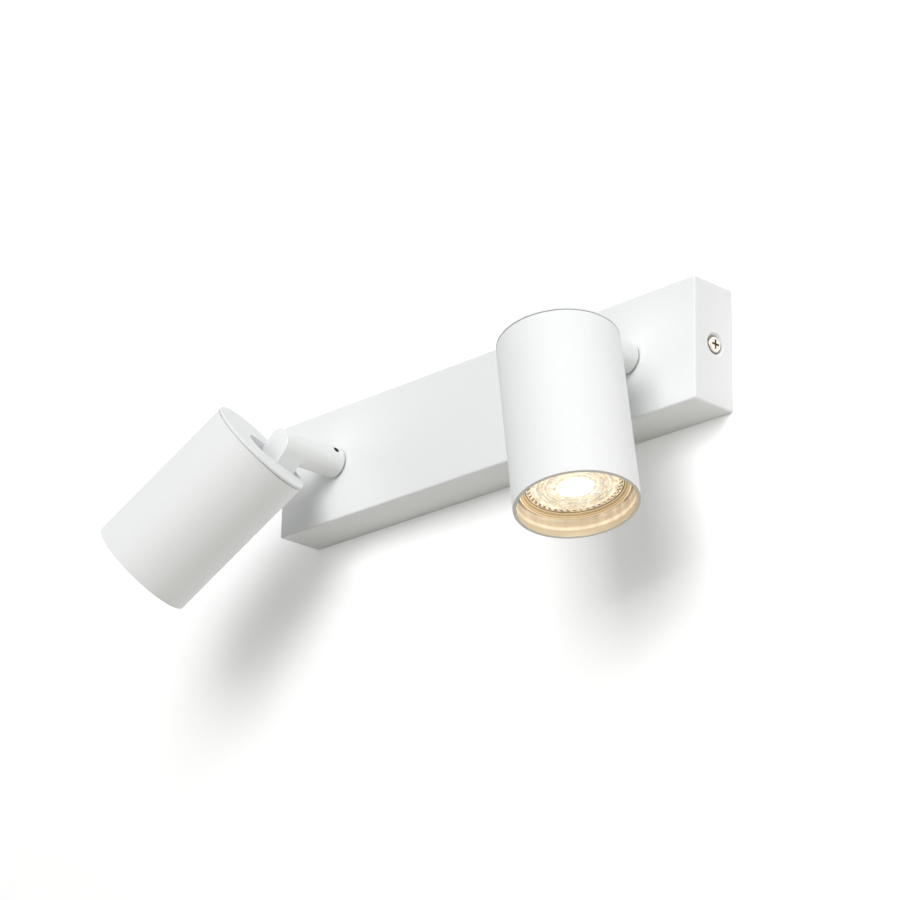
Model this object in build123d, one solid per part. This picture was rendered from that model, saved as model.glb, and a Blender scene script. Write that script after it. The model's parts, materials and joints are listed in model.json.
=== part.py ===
from build123d import *
import os
from math import cos, radians, sin

# A wall bar with two swivelling and tilting spot heads, in millimetres.
# X runs along the bar, +Y goes into the wall and +Z is up.
# The origin is the middle of the bar's back, on the wall.

# Bar cover, a folded sheet open towards the wall
bar_length = 282.0
bar_height = 60.0
bar_depth = 25.0
sheet = 0.8
fold_inside_radius = 0.2
screw_from_wall = 11.0
dimple_radius = 4.7
dimple_floor_radius = 4.3
dimple_depth = 2.2
dimple_flare = 0.9
cover_screw_radius = 2.0
cover_screw_length = 12.0
pan_head_radius = 3.9
pan_head_height = 2.2
recess_width = 1.1
recess_share = 1.2      # span of the cross recess over the head's radius
recess_sink = 0.65      # depth of the cross recess over the head's height
crown_share = 0.5       # rounding of a pan head's edge over its height
screw_clearance = 0.05
hole_clearance = 0.25

# Wall bracket, a strip with an angle welded on each end
bracket_sheet = 1.5
bracket_height = 42.0
lug_height = 18.0
lug_reach = 19.0
lug_foot = 10.0
wall_slot_spacing = 120.0
wall_slot_length = 16.0
wall_slot_radius = 2.5
cable_hole_x = 28.0
cable_hole_radius = 7.0
grommet_bore_radius = 4.5
grommet_lip = 2.0
grommet_lip_height = 1.5
grommet_squeeze_gap = 0.05

# Terminal block and its screws
block_x = -17.0
pole_pitch = 10.0
pole_count = 3
block_depth = 14.0
block_height = 17.0
block_shoulder = 3.0
shoulder_wall = 1.0
clamp_radius = 2.8
clamp_bore_radius = 1.9
clamp_length = 14.0
clamp_above_bracket = 4.5
clamp_screw_radius = 1.5
clamp_screw_offset = 4.2
clamp_screw_sink = 1.0
screw_slot_width = 0.6
screw_slot_depth = 0.8
block_screw_radius = 1.5
block_screw_head_radius = 2.6
block_screw_head_height = 1.8

# Wire cores and the three-core lead
core_radius = 0.65
core_pitch = 1.5
core_bend = 1.6
core_lane_gap = 0.25
core_run_first = 14.0
core_run_step = 2.5
lead_radius = 2.2
lead_bend = 4.5
lead_stub = 1.0
lead_end_above_pivot = 3.5

# Earth screw and tag
earth_x = 12.0
earth_z = -15.0
earth_screw_radius = 2.0
tag_radius = 4.2
tag_sheet = 0.8
tag_barrel_radius = 1.3
tag_barrel_length = 5.0
tag_approach = 5.0
tag_bend = 1.2

# Swivel post at the foot of each arm
arm_from_end = 41.0
post_radius = 4.45
post_length = 18.0
post_bore_radius = 2.6
collar_radius = 6.5
collar_height = 1.5
stem_radius = 4.0
stem_length = 8.5
nut_across_flats = 13.0
nut_height = 5.0
toothed_washer_radius = 7.2
toothed_washer_thickness = 0.8
tooth_count = 12
tooth_width = 1.2
tooth_depth = 0.9
friction_washer_thickness = 0.5
swivel_fit = 0.05
shadow_gap = 1.1

# Arm with its elbow and leg
arm_radius = 7.75
arm_reach = 39.0
leg_thickness = 13.2
leg_drop = 15.4
elbow_edge = 0.3
foot_edge = 0.3
lead_bore_radius = 3.25
fork_above_pivot = 5.0
socket_end_room = 1.0
counterbore_clearance = 0.3
grub_from_bar = 6.0
grub_angle = 10.0      # turn of the grub screw about the arm, from the side opposite the leg
grub_radius = 1.5
grub_sink = 1.5
grub_key = 1.5
grub_key_depth = 1.2
grub_tip_radius = 0.8
groove_depth = 1.15
groove_clearance = 0.3
swivel_half_range = 155.0

# Spot head: tube, slotted cap and tilt knuckle
head_radius = 28.0
head_length = 85.5
tube_wall = 1.5
cap_thickness = 1.6
cap_edge = 0.2
seam_width = 0.5
seam_depth = 0.8
mouth_edge = 0.3
arm_cap_gap = 0.35
knuckle_gap = 0.4
slot_end_room = 0.5
slot_tail = 2.5
slot_corner = 1.5
slot_wall = 1.5
slot_wall_depth = 3.0
spigot_depth = 5.0
spigot_wall = 1.5
spigot_clearance = 0.05
ear_thickness = 4.5
pivot_tip_radius = 2.0
pivot_tip_reach = 4.2
pivot_thread_radius = 2.5
pivot_head_radius = 4.0
pivot_head_height = 2.6
tilt_fit = 0.05
tilt_washer_margin = 0.6

# Lampholder in each head
boss_offset = 19.5
boss_radius = 3.5
plate_room = 3.0
plate_radius = 24.8
plate_thickness = 1.0
plate_window_radius = 6.0
holder_radius = 14.0
holder_height = 14.0
holder_skin = 3.5
holder_edge = 1.0
holder_screw_offset = 11.0
small_screw_radius = 1.5
small_screw_length = 7.0
small_head_radius = 2.6
small_head_height = 1.8
pocket_floor = 4.0
contact_size = 3.0
contact_clearance = 0.1
head_core_offset = 1.2
head_core_reach = 3.0
head_core_hole = 2.5

# Lamp with two bayonet pins
pin_spacing = 10.0
pin_neck_radius = 1.5
pin_head_radius = 2.5
pin_neck_length = 4.0
pin_head_height = 2.5
pin_clearance = 0.3
twist_range = 30.0
rim_depth = 8.0
rim_radius = 25.0
rim_height = 5.0
rim_lip = 3.0
rim_land = 0.6
rim_edge = 0.6
lamp_base_radius = 11.5
lamp_base_height = 14.0
lamp_neck_radius = 13.0
lamp_neck_height = 17.0
lamp_wall = 2.0
lens_sink = 1.5
lens_thickness = 4.0
lens_clearance = 0.2
lens_notch_count = 60
lens_notch_width = 1.1
lens_notch_length = 1.4
lens_notch_depth = 0.9
lens_ring_radii = (12.5, 15.5, 18.5)
lens_ring_width = 0.8
lens_ring_depth = 0.4
lens_dome_radius = 9.5
lens_dome_height = 0.7
lens_dome_edge = 0.5
board_step = 1.5
board_below_lens = 5.0
board_thickness = 1.6
chip_radius = 6.5
chip_height = 1.2

# Places worked out from the sizes above
front_y = -bar_depth
half_length = bar_length / 2
screw_y = -screw_from_wall
fold_radius = sheet + fold_inside_radius
lug_outer_x = half_length - dimple_depth - sheet
inner_front_y = front_y + sheet
block_front_y = -bracket_sheet - block_depth
clamp_y = -bracket_sheet - clamp_above_bracket
stem_end_y = front_y + stem_length
lead_end_y = stem_end_y + lead_stub
arm_foot_y = front_y - shadow_gap
arm_end_y = front_y - arm_reach
collar_top_y = front_y - collar_height
washer_top_y = collar_top_y - friction_washer_thickness
post_end_y = front_y - post_length
grub_y = front_y - grub_from_bar
socket_radius = post_radius + swivel_fit
pivot_y = arm_end_y + leg_thickness / 2
pivot_z = -leg_drop
pivot_depth = leg_drop - arm_radius - arm_cap_gap
ear_radius = leg_thickness / 2
ear_inner = arm_radius + knuckle_gap
ear_outer = ear_inner + ear_thickness
tube_inner_radius = head_radius - tube_wall
plate_top = pivot_depth + ear_radius + plate_room
holder_top = plate_top + plate_thickness
holder_front = holder_top + holder_height
rim_front = head_length - rim_depth
lens_front = rim_front - lens_sink
lens_back = lens_front - lens_thickness
board_front = lens_back - board_below_lens
board_back = board_front - board_thickness
rim_back = rim_front - rim_height
lens_radius = rim_radius - rim_lip - lens_clearance
board_radius = lens_radius - board_step
arm_x = half_length - arm_from_end

# Rest pose of the two heads: swivel from straight down, tilt from parallel to the wall
heads = {
    "left": {"x": -arm_x, "swivel": -49.4, "tilt": 14.5},
    "right": {"x": arm_x, "swivel": 12.7, "tilt": 4.2},
}


def block(x0, x1, y0, y1, z0, z1):
    """A box between two corners."""
    middle = Pos((x0 + x1) / 2, (y0 + y1) / 2, (z0 + z1) / 2)
    return middle * Box(abs(x1 - x0), abs(y1 - y0), abs(z1 - z0))


def rod_x(radius, x0, x1, y=0.0, z=0.0):
    """A cylinder along X."""
    return Pos((x0 + x1) / 2, y, z) * Rot(0, 90, 0) * Cylinder(radius, abs(x1 - x0))


def rod_y(radius, y0, y1, x=0.0, z=0.0):
    """A cylinder along Y."""
    return Pos(x, (y0 + y1) / 2, z) * Rot(90, 0, 0) * Cylinder(radius, abs(y1 - y0))


def rod_z(radius, z0, z1, x=0.0, y=0.0):
    """A cylinder along Z."""
    return Pos(x, y, (z0 + z1) / 2) * Cylinder(radius, abs(z1 - z0))


def turned(points):
    """A solid turned about Z from (radius, height) points."""
    outline = Polyline(*[(radius, 0, height) for radius, height in points], close=True)
    return revolve(make_face(outline), Axis.Z)


def round_wire(points, radius, bend):
    """A round wire along straight runs joined by tangent bends."""
    path = FilletPolyline(*points, radius=bend) if len(points) > 2 else Line(*points)
    start = Plane(path @ 0, z_dir=path % 0)
    return sweep(start * Circle(radius), path=path)


def pan_screw(shank_radius, shank_length, head_radius, head_height):
    """A pan-head screw with a cross recess, seated at z = 0 with its shank down."""
    head = rod_z(head_radius, 0, head_height)
    head = fillet(head.edges().sort_by(Axis.Z)[-1], crown_share * head_height)
    screw = head + rod_z(shank_radius, -shank_length, 0)
    span = recess_share * head_radius
    depth = recess_sink * head_height
    for angle in (0, 90):
        cross = Pos(0, 0, head_height - depth / 2) * Box(span, recess_width, depth)
        screw -= Rot(0, 0, angle) * cross
    return screw


def facing(direction, x, y, z):
    """Moves a screw from its own frame so that its head faces a direction."""
    return Plane(origin=(x, y, z), z_dir=direction).location


def ring_y(outer, inner, y0, y1):
    """A flat ring about the Y axis."""
    return rod_y(outer, y0, y1) - rod_y(inner, y0, y1)


# The bar


def cover():
    """The folded cover with a dimpled screw seat in each end and a hole for each post."""
    box = block(-half_length, half_length, front_y, 0, -bar_height / 2, bar_height / 2)
    folds = box.edges().filter_by(Axis.Y) + box.faces().sort_by(Axis.Y)[0].edges()
    shell = fillet(folds, fold_radius)
    inside = block(sheet - half_length, half_length - sheet, inner_front_y, 0,
                   sheet - bar_height / 2, bar_height / 2 - sheet)
    corners = inside.edges().filter_by(Axis.Y) + inside.faces().sort_by(Axis.Y)[0].edges()
    shell -= fillet(corners, fold_inside_radius)
    for side in (-1, 1):
        cup_depth = dimple_depth + sheet
        cup = Cone(dimple_floor_radius + sheet, dimple_radius + sheet, cup_depth)
        bowl = turned([(0, 0), (dimple_radius + dimple_flare, 0), (dimple_radius, -dimple_flare),
                       (dimple_floor_radius, -dimple_depth), (0, -dimple_depth)])
        place = facing((side, 0, 0), side * half_length, screw_y, 0)
        shell += place * Pos(0, 0, -cup_depth / 2) * cup
        shell -= place * bowl
        shell -= rod_x(cover_screw_radius + hole_clearance, side * lug_outer_x, side * half_length, screw_y)
    for head in heads.values():
        shell -= rod_y(stem_radius + hole_clearance, front_y, inner_front_y, head["x"])
    return shell


def cover_screws():
    """One screw in each end of the cover."""
    screw = pan_screw(cover_screw_radius, cover_screw_length, pan_head_radius, pan_head_height)
    seat_x = half_length - dimple_depth
    return [facing((side, 0, 0), side * seat_x, screw_y, 0) * screw for side in (-1, 1)]


def bracket():
    """The wall strip with its slots and holes."""
    strip = block(-lug_outer_x, lug_outer_x, -bracket_sheet, 0, -bracket_height / 2, bracket_height / 2)
    for side in (-1, 1):
        slot = Rot(90, 0, 0) * SlotOverall(wall_slot_length, 2 * wall_slot_radius)
        strip -= Pos(side * wall_slot_spacing / 2, 0, 0) * extrude(slot, bracket_sheet, both=True)
    strip -= rod_y(cable_hole_radius, -bracket_sheet, 0, cable_hole_x)
    strip -= rod_y(earth_screw_radius + screw_clearance, -bracket_sheet, 0, earth_x, earth_z)
    for x in block_screw_places():
        strip -= rod_y(block_screw_radius + screw_clearance, -bracket_sheet, 0, x)
    return strip


def bracket_lugs():
    """An angle on each end of the strip, with a hole for the cover screw."""
    ends = (-lug_height / 2, lug_height / 2)
    lugs = []
    for side in (-1, 1):
        outer = side * lug_outer_x
        inner = outer - side * bracket_sheet
        lug = block(inner, outer, -lug_reach, -bracket_sheet, *ends)
        lug += block(outer - side * lug_foot, outer, -2 * bracket_sheet, -bracket_sheet, *ends)
        lugs.append(lug - rod_x(cover_screw_radius + screw_clearance, inner, outer, screw_y))
    return lugs


def grommet():
    """The rubber ring in the cable hole, with its lip on the room side."""
    neck = rod_y(cable_hole_radius - grommet_squeeze_gap, -bracket_sheet, 0)
    lip = rod_y(cable_hole_radius + grommet_lip, -bracket_sheet - grommet_lip_height, -bracket_sheet)
    lip = fillet(lip.edges().sort_by(Axis.Y)[0], grommet_lip_height / 2)
    bore = rod_y(grommet_bore_radius, -bracket_sheet - grommet_lip_height, 0)
    return Pos(cable_hole_x, 0, 0) * (neck + lip - bore)


def pole_places():
    """The X of each pole of the terminal block."""
    return [block_x + (i - (pole_count - 1) / 2) * pole_pitch for i in range(pole_count)]


def block_screw_places():
    """The X of each screw that holds the terminal block, between two poles."""
    poles = pole_places()
    return [(a + b) / 2 for a, b in zip(poles, poles[1:])]


def terminal_block():
    """The housing: a base, a tower on each pole, and holes for clamps, screws and fixings."""
    half = pole_count * pole_pitch / 2
    shoulder_y = clamp_y - clamp_radius - shoulder_wall
    ends = (-block_height / 2, block_height / 2)
    body = block(block_x - half, block_x + half, shoulder_y, -bracket_sheet, *ends)
    for x in pole_places():
        half_tower = pole_pitch / 2 - block_shoulder / 2
        body += block(x - half_tower, x + half_tower, block_front_y, shoulder_y, *ends)
        body -= rod_z(clamp_radius + screw_clearance, *ends, x, clamp_y)
        for z in (-clamp_screw_offset, clamp_screw_offset):
            body -= rod_y(clamp_screw_radius + hole_clearance, block_front_y, clamp_y, x, z)
    for x in block_screw_places():
        body -= rod_y(block_screw_radius + hole_clearance, shoulder_y, -bracket_sheet, x)
        body -= rod_y(block_screw_head_radius + hole_clearance, block_front_y, shoulder_y, x)
    return body


def terminal_clamps():
    """A brass tube in each pole, open at both ends for the cores."""
    clamps = []
    for x in pole_places():
        tube = rod_z(clamp_radius, -clamp_length / 2, clamp_length / 2, x, clamp_y)
        tube -= rod_z(clamp_bore_radius, -clamp_length / 2, clamp_length / 2, x, clamp_y)
        for z in (-clamp_screw_offset, clamp_screw_offset):
            tube -= rod_y(clamp_screw_radius + screw_clearance, clamp_y - clamp_radius, clamp_y, x, z)
        clamps.append(tube)
    return clamps


def terminal_screws():
    """Slotted screws that press the cores into the clamps."""
    top_y = block_front_y + clamp_screw_sink
    tip_y = clamp_y - core_pair_half() - core_radius - screw_clearance
    screws = []
    for x in pole_places():
        for z in (-clamp_screw_offset, clamp_screw_offset):
            screw = rod_y(clamp_screw_radius, top_y, tip_y, x, z)
            slot_half = screw_slot_width / 2
            screw -= block(x - clamp_screw_radius, x + clamp_screw_radius, top_y, top_y + screw_slot_depth,
                           z - slot_half, z + slot_half)
            screws.append(screw)
    return screws


def block_screws():
    """Screws between the poles that hold the block on the bracket."""
    shoulder_y = clamp_y - clamp_radius - shoulder_wall
    screw = pan_screw(block_screw_radius, -shoulder_y, block_screw_head_radius, block_screw_head_height)
    return [facing((0, -1, 0), x, shoulder_y, 0) * screw for x in block_screw_places()]


def core_pair_half():
    """Half the distance between the left and the right lamp's core in one clamp."""
    return core_radius + core_lane_gap / 2


def core_route(side, order):
    """The route of one core from the foot of an arm to its clamp. Order 0 is the live core."""
    sign = -1 if side == "left" else 1
    rank = order if side == "left" else pole_count - 1 - order
    from_middle = (pole_count - 1) / 2 - rank
    x = heads[side]["x"] - sign * from_middle * core_pitch
    lane_y = clamp_y + sign * core_pair_half()
    run_z = core_run_first + rank * core_run_step
    clamp_x = pole_places()[order]
    clamp_end = clamp_screw_offset - clamp_screw_radius
    return [(x, lead_end_y, 0), (x, lane_y, 0), (x, lane_y, run_z), (clamp_x, lane_y, run_z),
            (clamp_x, lane_y, clamp_end)]


def lamp_cores(order):
    """The cores of one colour to both lamps."""
    return [round_wire(core_route(side, order), core_radius, core_bend) for side in heads]


def earth_link():
    """The core from the earth pole to the tag on the bracket."""
    x = pole_places()[-1]
    tag_y = -bracket_sheet - tag_barrel_radius
    down_x = x + tag_approach
    barrel_x = earth_x - tag_radius - tag_barrel_length / 2
    clamp_end = clamp_radius - clamp_screw_offset
    points = [(x, clamp_y, clamp_end), (x, clamp_y, earth_z), (down_x, clamp_y, earth_z),
              (down_x, tag_y, earth_z), (barrel_x, tag_y, earth_z)]
    return round_wire(points, core_radius, tag_bend)


def earth_tag():
    """The ring tag with its crimped barrel."""
    tag_top = -bracket_sheet - tag_sheet
    barrel_y = -bracket_sheet - tag_barrel_radius
    barrel_end = earth_x - tag_radius - tag_barrel_length
    tag = rod_y(tag_radius, tag_top, -bracket_sheet, earth_x, earth_z)
    tag += rod_x(tag_barrel_radius, barrel_end, earth_x - tag_radius + tag_sheet, barrel_y, earth_z)
    tag -= rod_x(core_radius + screw_clearance, barrel_end, earth_x - tag_radius - tag_barrel_length / 2,
                 barrel_y, earth_z)
    return tag - rod_y(earth_screw_radius + hole_clearance, tag_top, -bracket_sheet, earth_x, earth_z)


def earth_screw():
    """The screw that holds the tag on the bracket."""
    seat_y = -bracket_sheet - tag_sheet
    screw = pan_screw(earth_screw_radius, -seat_y, tag_radius - tag_sheet, pan_head_height)
    return facing((0, -1, 0), earth_x, seat_y, earth_z) * screw


# The swivel foot, made with the arm's axis on x = 0


def post():
    """The hollow post: threaded stem, collar, and a journal with a groove that ends at a stop."""
    solid = rod_y(stem_radius, stem_end_y, front_y) + rod_y(collar_radius, front_y, collar_top_y)
    solid += rod_y(post_radius, collar_top_y, post_end_y)
    groove_half = grub_tip_radius + groove_clearance
    groove = ring_y(post_radius, post_radius - groove_depth, grub_y - groove_half, grub_y + groove_half)
    stop_angle = radians(180 - swivel_half_range)
    tip_end = post_radius - groove_depth + groove_clearance
    stop_half = tip_end * sin(stop_angle) - grub_tip_radius * cos(stop_angle) - swivel_fit
    stop = block(-stop_half, stop_half, grub_y - groove_half, grub_y + groove_half, -post_radius, 0)
    solid -= groove - Rot(0, grub_angle, 0) * stop
    return solid - rod_y(post_bore_radius, stem_end_y, post_end_y)


def post_nut():
    """The hex nut inside the cover."""
    start_y = inner_front_y + toothed_washer_thickness
    hexagon = RegularPolygon(nut_across_flats / 2, 6, major_radius=False)
    nut = Pos(0, start_y, 0) * Rot(-90, 0, 0) * extrude(hexagon, nut_height)
    return nut - rod_y(stem_radius + screw_clearance, start_y, start_y + nut_height)


def post_washer():
    """The toothed washer under the nut."""
    end_y = inner_front_y + toothed_washer_thickness
    washer = ring_y(toothed_washer_radius, stem_radius + hole_clearance, inner_front_y, end_y)
    for i in range(tooth_count):
        notch = block(-tooth_width / 2, tooth_width / 2, inner_front_y, end_y,
                      toothed_washer_radius - tooth_depth, toothed_washer_radius + tooth_depth)
        washer -= notch.rotate(Axis.Y, i * 360 / tooth_count)
    return washer


def friction_washer():
    """The slippery washer between the post's collar and the arm."""
    return ring_y(collar_radius, post_radius + swivel_fit, collar_top_y, washer_top_y)


# The arm, made hanging with its axis on x = 0


def arm():
    """The round arm, its square elbow and the forked leg."""
    outline = Circle(arm_radius) + Pos(0, -leg_drop / 2) * Rectangle(2 * arm_radius, leg_drop)
    leg = Pos(0, arm_end_y, 0) * Rot(90, 0, 0) * extrude(outline, -leg_thickness)
    outer_face = leg.faces().sort_by(Axis.Y)[0]
    rim = outer_face.edges().filter_by(lambda edge: edge.center().Z > pivot_z + elbow_edge)
    leg = fillet(rim, elbow_edge)
    leg += rod_x(leg_thickness / 2, -arm_radius, arm_radius, pivot_y, pivot_z)
    shaft = rod_y(arm_radius, arm_foot_y, arm_end_y + leg_thickness)
    solid = leg + fillet(shaft.edges().sort_by(Axis.Y)[-1], foot_edge)
    fork_end = pivot_z - leg_thickness / 2
    solid -= block(-lead_bore_radius, lead_bore_radius, arm_end_y, arm_end_y + leg_thickness,
                   fork_end, pivot_z + fork_above_pivot)
    solid -= rod_z(lead_bore_radius, fork_end, 0, 0, pivot_y)
    solid -= rod_y(lead_bore_radius, arm_foot_y, pivot_y - lead_bore_radius)
    solid -= rod_y(socket_radius, arm_foot_y, post_end_y - socket_end_room)
    solid -= rod_y(collar_radius + counterbore_clearance, arm_foot_y, washer_top_y)
    solid -= Rot(0, grub_angle, 0) * rod_z(grub_radius + screw_clearance, 0, arm_radius, 0, grub_y)
    return solid - rod_x(pivot_tip_radius + tilt_fit, -arm_radius, arm_radius, pivot_y, pivot_z)


def grub_screw():
    """The grub screw whose tip runs in the post's groove."""
    tip_z = post_radius - groove_depth + groove_clearance
    top_z = arm_radius - grub_sink
    screw = rod_z(grub_radius, socket_radius, top_z, 0, grub_y)
    screw += rod_z(grub_tip_radius, tip_z, socket_radius, 0, grub_y)
    key = extrude(RegularPolygon(grub_key / 2, 6, major_radius=False), -grub_key_depth)
    return Rot(0, grub_angle, 0) * (screw - Pos(0, grub_y, top_z) * key)


def arm_lead():
    """The three-core lead from behind the post to just above the pivot."""
    points = [(0, lead_end_y, 0), (0, pivot_y, 0), (0, pivot_y, pivot_z + lead_end_above_pivot)]
    return round_wire(points, lead_radius, lead_bend)


# The spot head. Its own frame has the cap's top at the origin, the mouth down, the wall at +Y
# and the pivot behind the axis by the leg's drop, so that at full tilt the arm is on the axis.


def tube():
    """The painted tube, open at the mouth."""
    outside = rod_z(head_radius, -head_length, -cap_thickness)
    outside = fillet(outside.edges().sort_by(Axis.Z)[0], mouth_edge)
    return outside - rod_z(tube_inner_radius, -head_length, -cap_thickness)


def slot_outline():
    """The slot for the leg, round at its outer end and square with small corners by the wall."""
    outer_y = -slot_end_room
    tail_y = leg_drop + leg_thickness / 2 + slot_tail
    straight = Pos(0, (outer_y + tail_y) / 2) * Rectangle(2 * ear_inner, tail_y - outer_y)
    straight = fillet(straight.vertices().group_by(Axis.Y)[-1], slot_corner)
    return straight + Pos(0, outer_y) * Circle(ear_inner)


def cap():
    """The end cap: top disc over a shadow seam, spigot, walled slot, two ears and two bosses."""
    top = rod_z(head_radius, seam_width - cap_thickness, 0)
    top = fillet(top.edges().sort_by(Axis.Z)[-1], cap_edge)
    top += rod_z(head_radius - seam_depth, -cap_thickness, seam_width - cap_thickness)
    spigot_radius = tube_inner_radius - spigot_clearance
    spigot_end = -cap_thickness - spigot_depth
    solid = top + rod_z(spigot_radius, spigot_end, -cap_thickness)
    solid -= rod_z(spigot_radius - spigot_wall, spigot_end, -cap_thickness)
    collar = Pos(0, 0, -cap_thickness) * extrude(offset(slot_outline(), slot_wall), -slot_wall_depth)
    solid += collar & rod_z(spigot_radius, spigot_end, -cap_thickness)
    for side in (-1, 1):
        inner, outer = side * ear_inner, side * ear_outer
        solid += block(inner, outer, leg_drop - ear_radius, leg_drop + ear_radius,
                       -pivot_depth, -cap_thickness)
        solid += rod_x(ear_radius, inner, outer, leg_drop, -pivot_depth)
        solid -= rod_x(pivot_thread_radius + screw_clearance, inner, outer, leg_drop, -pivot_depth)
        solid += rod_z(boss_radius, -plate_top, -cap_thickness, side * boss_offset)
        solid -= rod_z(small_screw_radius + screw_clearance, -plate_top,
                       -plate_top + small_screw_length + plate_thickness, side * boss_offset)
    return solid - extrude(slot_outline(), -cap_thickness - spigot_depth)


def pivot_screws():
    """A shouldered screw through each ear, with a plain tip in the leg."""
    screws = []
    for side in (-1, 1):
        tip_x = side * (arm_radius - pivot_tip_reach)
        inner, outer = side * ear_inner, side * ear_outer
        screw = rod_x(pivot_tip_radius, tip_x, inner, leg_drop, -pivot_depth)
        screw += rod_x(pivot_thread_radius, inner, outer, leg_drop, -pivot_depth)
        head_end = outer + side * pivot_head_height
        screw += rod_x(pivot_head_radius, outer, head_end, leg_drop, -pivot_depth)
        slot_floor = head_end - side * screw_slot_depth
        slot_half = screw_slot_width / 2
        screw -= block(slot_floor, head_end, leg_drop - pivot_head_radius, leg_drop + pivot_head_radius,
                       -pivot_depth - slot_half, -pivot_depth + slot_half)
        screws.append(screw)
    return screws


def tilt_washers():
    """A thin friction washer between each ear and the leg."""
    washers = []
    for side in (-1, 1):
        ends = (side * arm_radius, side * ear_inner)
        washer = rod_x(ear_radius - tilt_washer_margin, *ends, leg_drop, -pivot_depth)
        washers.append(washer - rod_x(pivot_tip_radius + tilt_fit, *ends, leg_drop, -pivot_depth))
    return washers


def holder_plate():
    """The steel plate that carries the lampholder on the cap's bosses."""
    plate = rod_z(plate_radius, -holder_top, -plate_top) - rod_z(plate_window_radius, -holder_top, -plate_top)
    for side in (-1, 1):
        for offset in (boss_offset, holder_screw_offset):
            plate -= rod_z(small_screw_radius + hole_clearance, -holder_top, -plate_top, side * offset)
    return plate


def holder_screws():
    """Two screws up into the bosses and two down into the lampholder."""
    reach = small_screw_length + plate_thickness
    screw = pan_screw(small_screw_radius, reach - screw_clearance, small_head_radius, small_head_height)
    screws = []
    for side in (-1, 1):
        screws.append(facing((0, 0, -1), side * boss_offset, 0, -holder_top) * screw)
        screws.append(facing((0, 0, 1), side * holder_screw_offset, 0, -plate_top) * screw)
    return screws


def pin_places():
    """The angle of each lamp pin about the head's axis, when locked."""
    return (90, 270)


def keyway(width, top, bottom):
    """Arc-shaped cuts that follow both pins through their twist."""
    cut = []
    for angle in pin_places():
        path = CenterArc((0, 0), pin_spacing / 2, angle, -twist_range)
        cut.append(Pos(0, 0, -bottom) * extrude(SlotArc(path, width), bottom - top))
    return cut


def pin_point(angle):
    """Where a pin stands at an angle."""
    reach = pin_spacing / 2
    return reach * cos(radians(angle)), reach * sin(radians(angle))


def lamp_holder():
    """The ceramic lampholder with a keyhole and a pocket for each pin."""
    body = rod_z(holder_radius, -holder_front, -holder_top)
    body = chamfer(body.edges().sort_by(Axis.Z)[0], holder_edge)
    skin_back = holder_front - holder_skin
    neck_width = 2 * (pin_neck_radius + pin_clearance)
    head_width = 2 * (pin_head_radius + pin_clearance)
    for cut in keyway(neck_width, skin_back, holder_front):
        body -= cut
    for cut in keyway(head_width, holder_top + pocket_floor, skin_back):
        body -= cut
    for angle in pin_places():
        x, y = pin_point(angle - twist_range)
        body -= rod_z(head_width / 2, -holder_front, -skin_back, x, y)
    for side in (-1, 1):
        body -= rod_z(small_screw_radius + screw_clearance, -holder_top - small_screw_length, -holder_top,
                      side * holder_screw_offset)
        body -= rod_z(core_radius + screw_clearance, -holder_top - head_core_hole, -holder_top,
                      side * head_core_offset, head_core_reach)
    return body


def holder_contacts():
    """A brass contact under each pin."""
    pin_end = holder_front - pin_neck_length - pin_head_height
    contacts = []
    for angle in pin_places():
        x, y = pin_point(angle - twist_range / 2)
        half = contact_size / 2
        contacts.append(block(x - half, x + half, y - half, y + half, -holder_top - pocket_floor,
                              -pin_end + contact_clearance))
    return contacts


def head_cores():
    """The two cores from the pivot, over the plate and into the lampholder's back."""
    over_plate = plate_top - plate_room / 2
    cores = []
    for side in (-1, 1):
        x = side * head_core_offset
        points = [(x, head_core_reach, -holder_top - head_core_hole), (x, head_core_reach, -over_plate),
                  (x, leg_drop, -over_plate), (x, leg_drop, -pivot_depth - core_radius)]
        cores.append(round_wire(points, core_radius, core_bend))
    return cores


# The lamp, in the head's frame


def lamp_shell():
    """The lamp's moulded body: base, flared cup and sloping bezel, with ledges for board and lens."""
    neck_end = holder_front + lamp_base_height
    flare_start = holder_front + lamp_neck_height
    inner_base = lamp_base_radius - lamp_wall
    board_ledge = board_radius - board_step
    lens_seat = rim_radius - rim_lip
    bezel_start = rim_radius - rim_edge - rim_land
    outside = [(0, holder_front), (lamp_base_radius, holder_front), (lamp_base_radius, neck_end),
               (lamp_neck_radius, flare_start), (board_radius + lamp_wall, board_front),
               (rim_radius, rim_back), (rim_radius, rim_front - rim_edge),
               (rim_radius - rim_edge, rim_front)]
    inside = [(bezel_start, rim_front), (lens_seat, lens_front), (lens_seat, lens_back),
              (board_radius + lens_clearance, lens_back), (board_radius + lens_clearance, board_back),
              (board_ledge, board_back), (inner_base, flare_start),
              (inner_base, holder_front + lamp_wall), (0, holder_front + lamp_wall)]
    return turned([(radius, -depth) for radius, depth in outside + inside])


def lamp_pins():
    """The two bayonet pins in the lamp's base."""
    neck_end = holder_front - pin_neck_length
    pins = []
    for angle in pin_places():
        x, y = pin_point(angle)
        pin = rod_z(pin_neck_radius, -holder_front, -neck_end, x, y)
        pins.append(pin + rod_z(pin_head_radius, -neck_end, -neck_end + pin_head_height, x, y))
    return pins


def lamp_board():
    """The round metal board on its ledge in the shell."""
    return rod_z(board_radius, -board_front, -board_back)


def lamp_chip():
    """The light-emitting chip on the board."""
    return rod_z(chip_radius, -board_front - chip_height, -board_front)


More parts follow.
